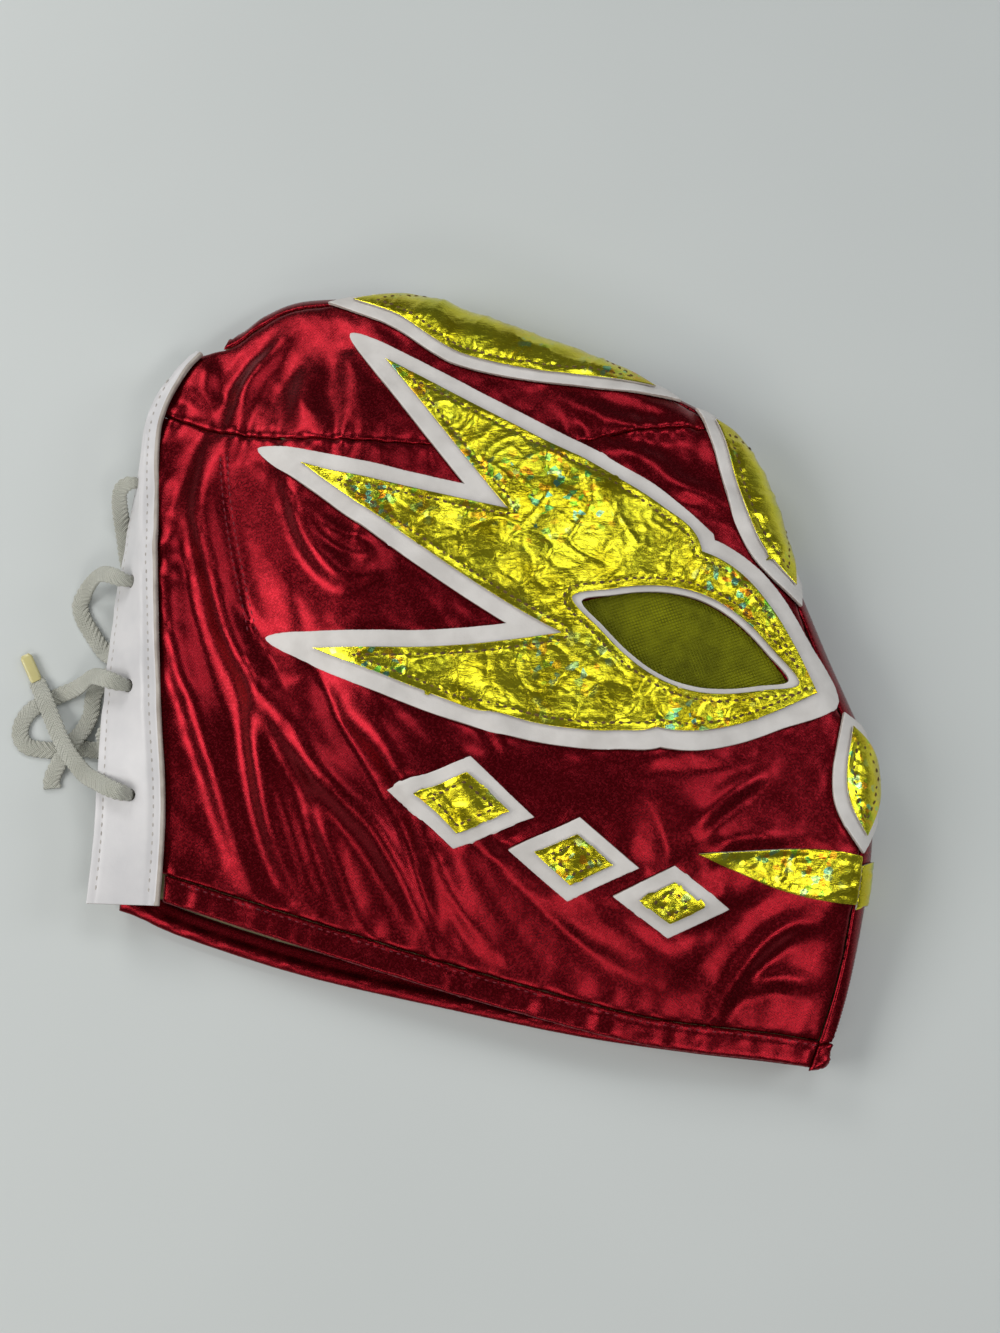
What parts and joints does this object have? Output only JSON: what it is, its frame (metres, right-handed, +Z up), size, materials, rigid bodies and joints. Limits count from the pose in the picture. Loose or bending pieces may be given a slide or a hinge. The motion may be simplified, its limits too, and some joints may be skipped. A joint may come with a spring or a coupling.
{
  "type": "luchador mask",
  "caption": "Laced red cloth wrestling mask with gold and white flames round the eyes, folded flat on its midline and lying on its side.",
  "frame": {"origin": "on the table under the middle of the folded mask, measured without the laces", "axes": "+X towards the nose, +Y towards the crown, +Z up from the table through both sides of the mask"},
  "size_m": [0.3287, 0.301, 0.0486],
  "materials": {
    "red_cloth": "red metallic cloth with a fine weave, satin shine",
    "gold_foil": "gold holographic foil on thin vinyl, crinkled, glossy",
    "white_edging": "white vinyl, matte, cut edges",
    "white_facing": "smooth white vinyl, two stitch rows",
    "eye_net": "fine olive net",
    "lace_cotton": "flat woven cotton lace, grey green",
    "aglet": "clear yellowish plastic tip"
  },
  "bodies": {
    "root": {"crown_panel_right": "red_cloth", "side_panel_right": "red_cloth", "neck_hem_right": "red_cloth", "eye_mesh_right": "eye_net", "eye_flame_border_right": "white_edging", "eye_flame_right": "gold_foil", "jaw_lozenge_border_1_right": "white_edging", "jaw_lozenge_1_right": "gold_foil", "jaw_lozenge_border_2_right": "white_edging", "jaw_lozenge_2_right": "gold_foil", "jaw_lozenge_border_3_right": "white_edging", "jaw_lozenge_3_right": "gold_foil", "mouth_trim_right": "gold_foil", "lace_facing_right": "white_facing", "crown_panel_left": "red_cloth", "side_panel_left": "red_cloth", "neck_hem_left": "red_cloth", "eye_mesh_left": "eye_net", "eye_flame_border_left": "white_edging", "eye_flame_left": "gold_foil", "jaw_lozenge_border_1_left": "white_edging", "jaw_lozenge_1_left": "gold_foil", "jaw_lozenge_border_2_left": "white_edging", "jaw_lozenge_2_left": "gold_foil", "jaw_lozenge_border_3_left": "white_edging", "jaw_lozenge_3_left": "gold_foil", "mouth_trim_left": "gold_foil", "lace_facing_left": "white_facing", "crest_border": "white_edging", "crest": "gold_foil", "brow_kite_border": "white_edging", "brow_kite": "gold_foil", "nose_kite_border": "white_edging", "nose_kite": "gold_foil", "lace": "lace_cotton", "lace_tail": "lace_cotton", "lace_aglet": "aglet"}
  },
  "joints": []
}
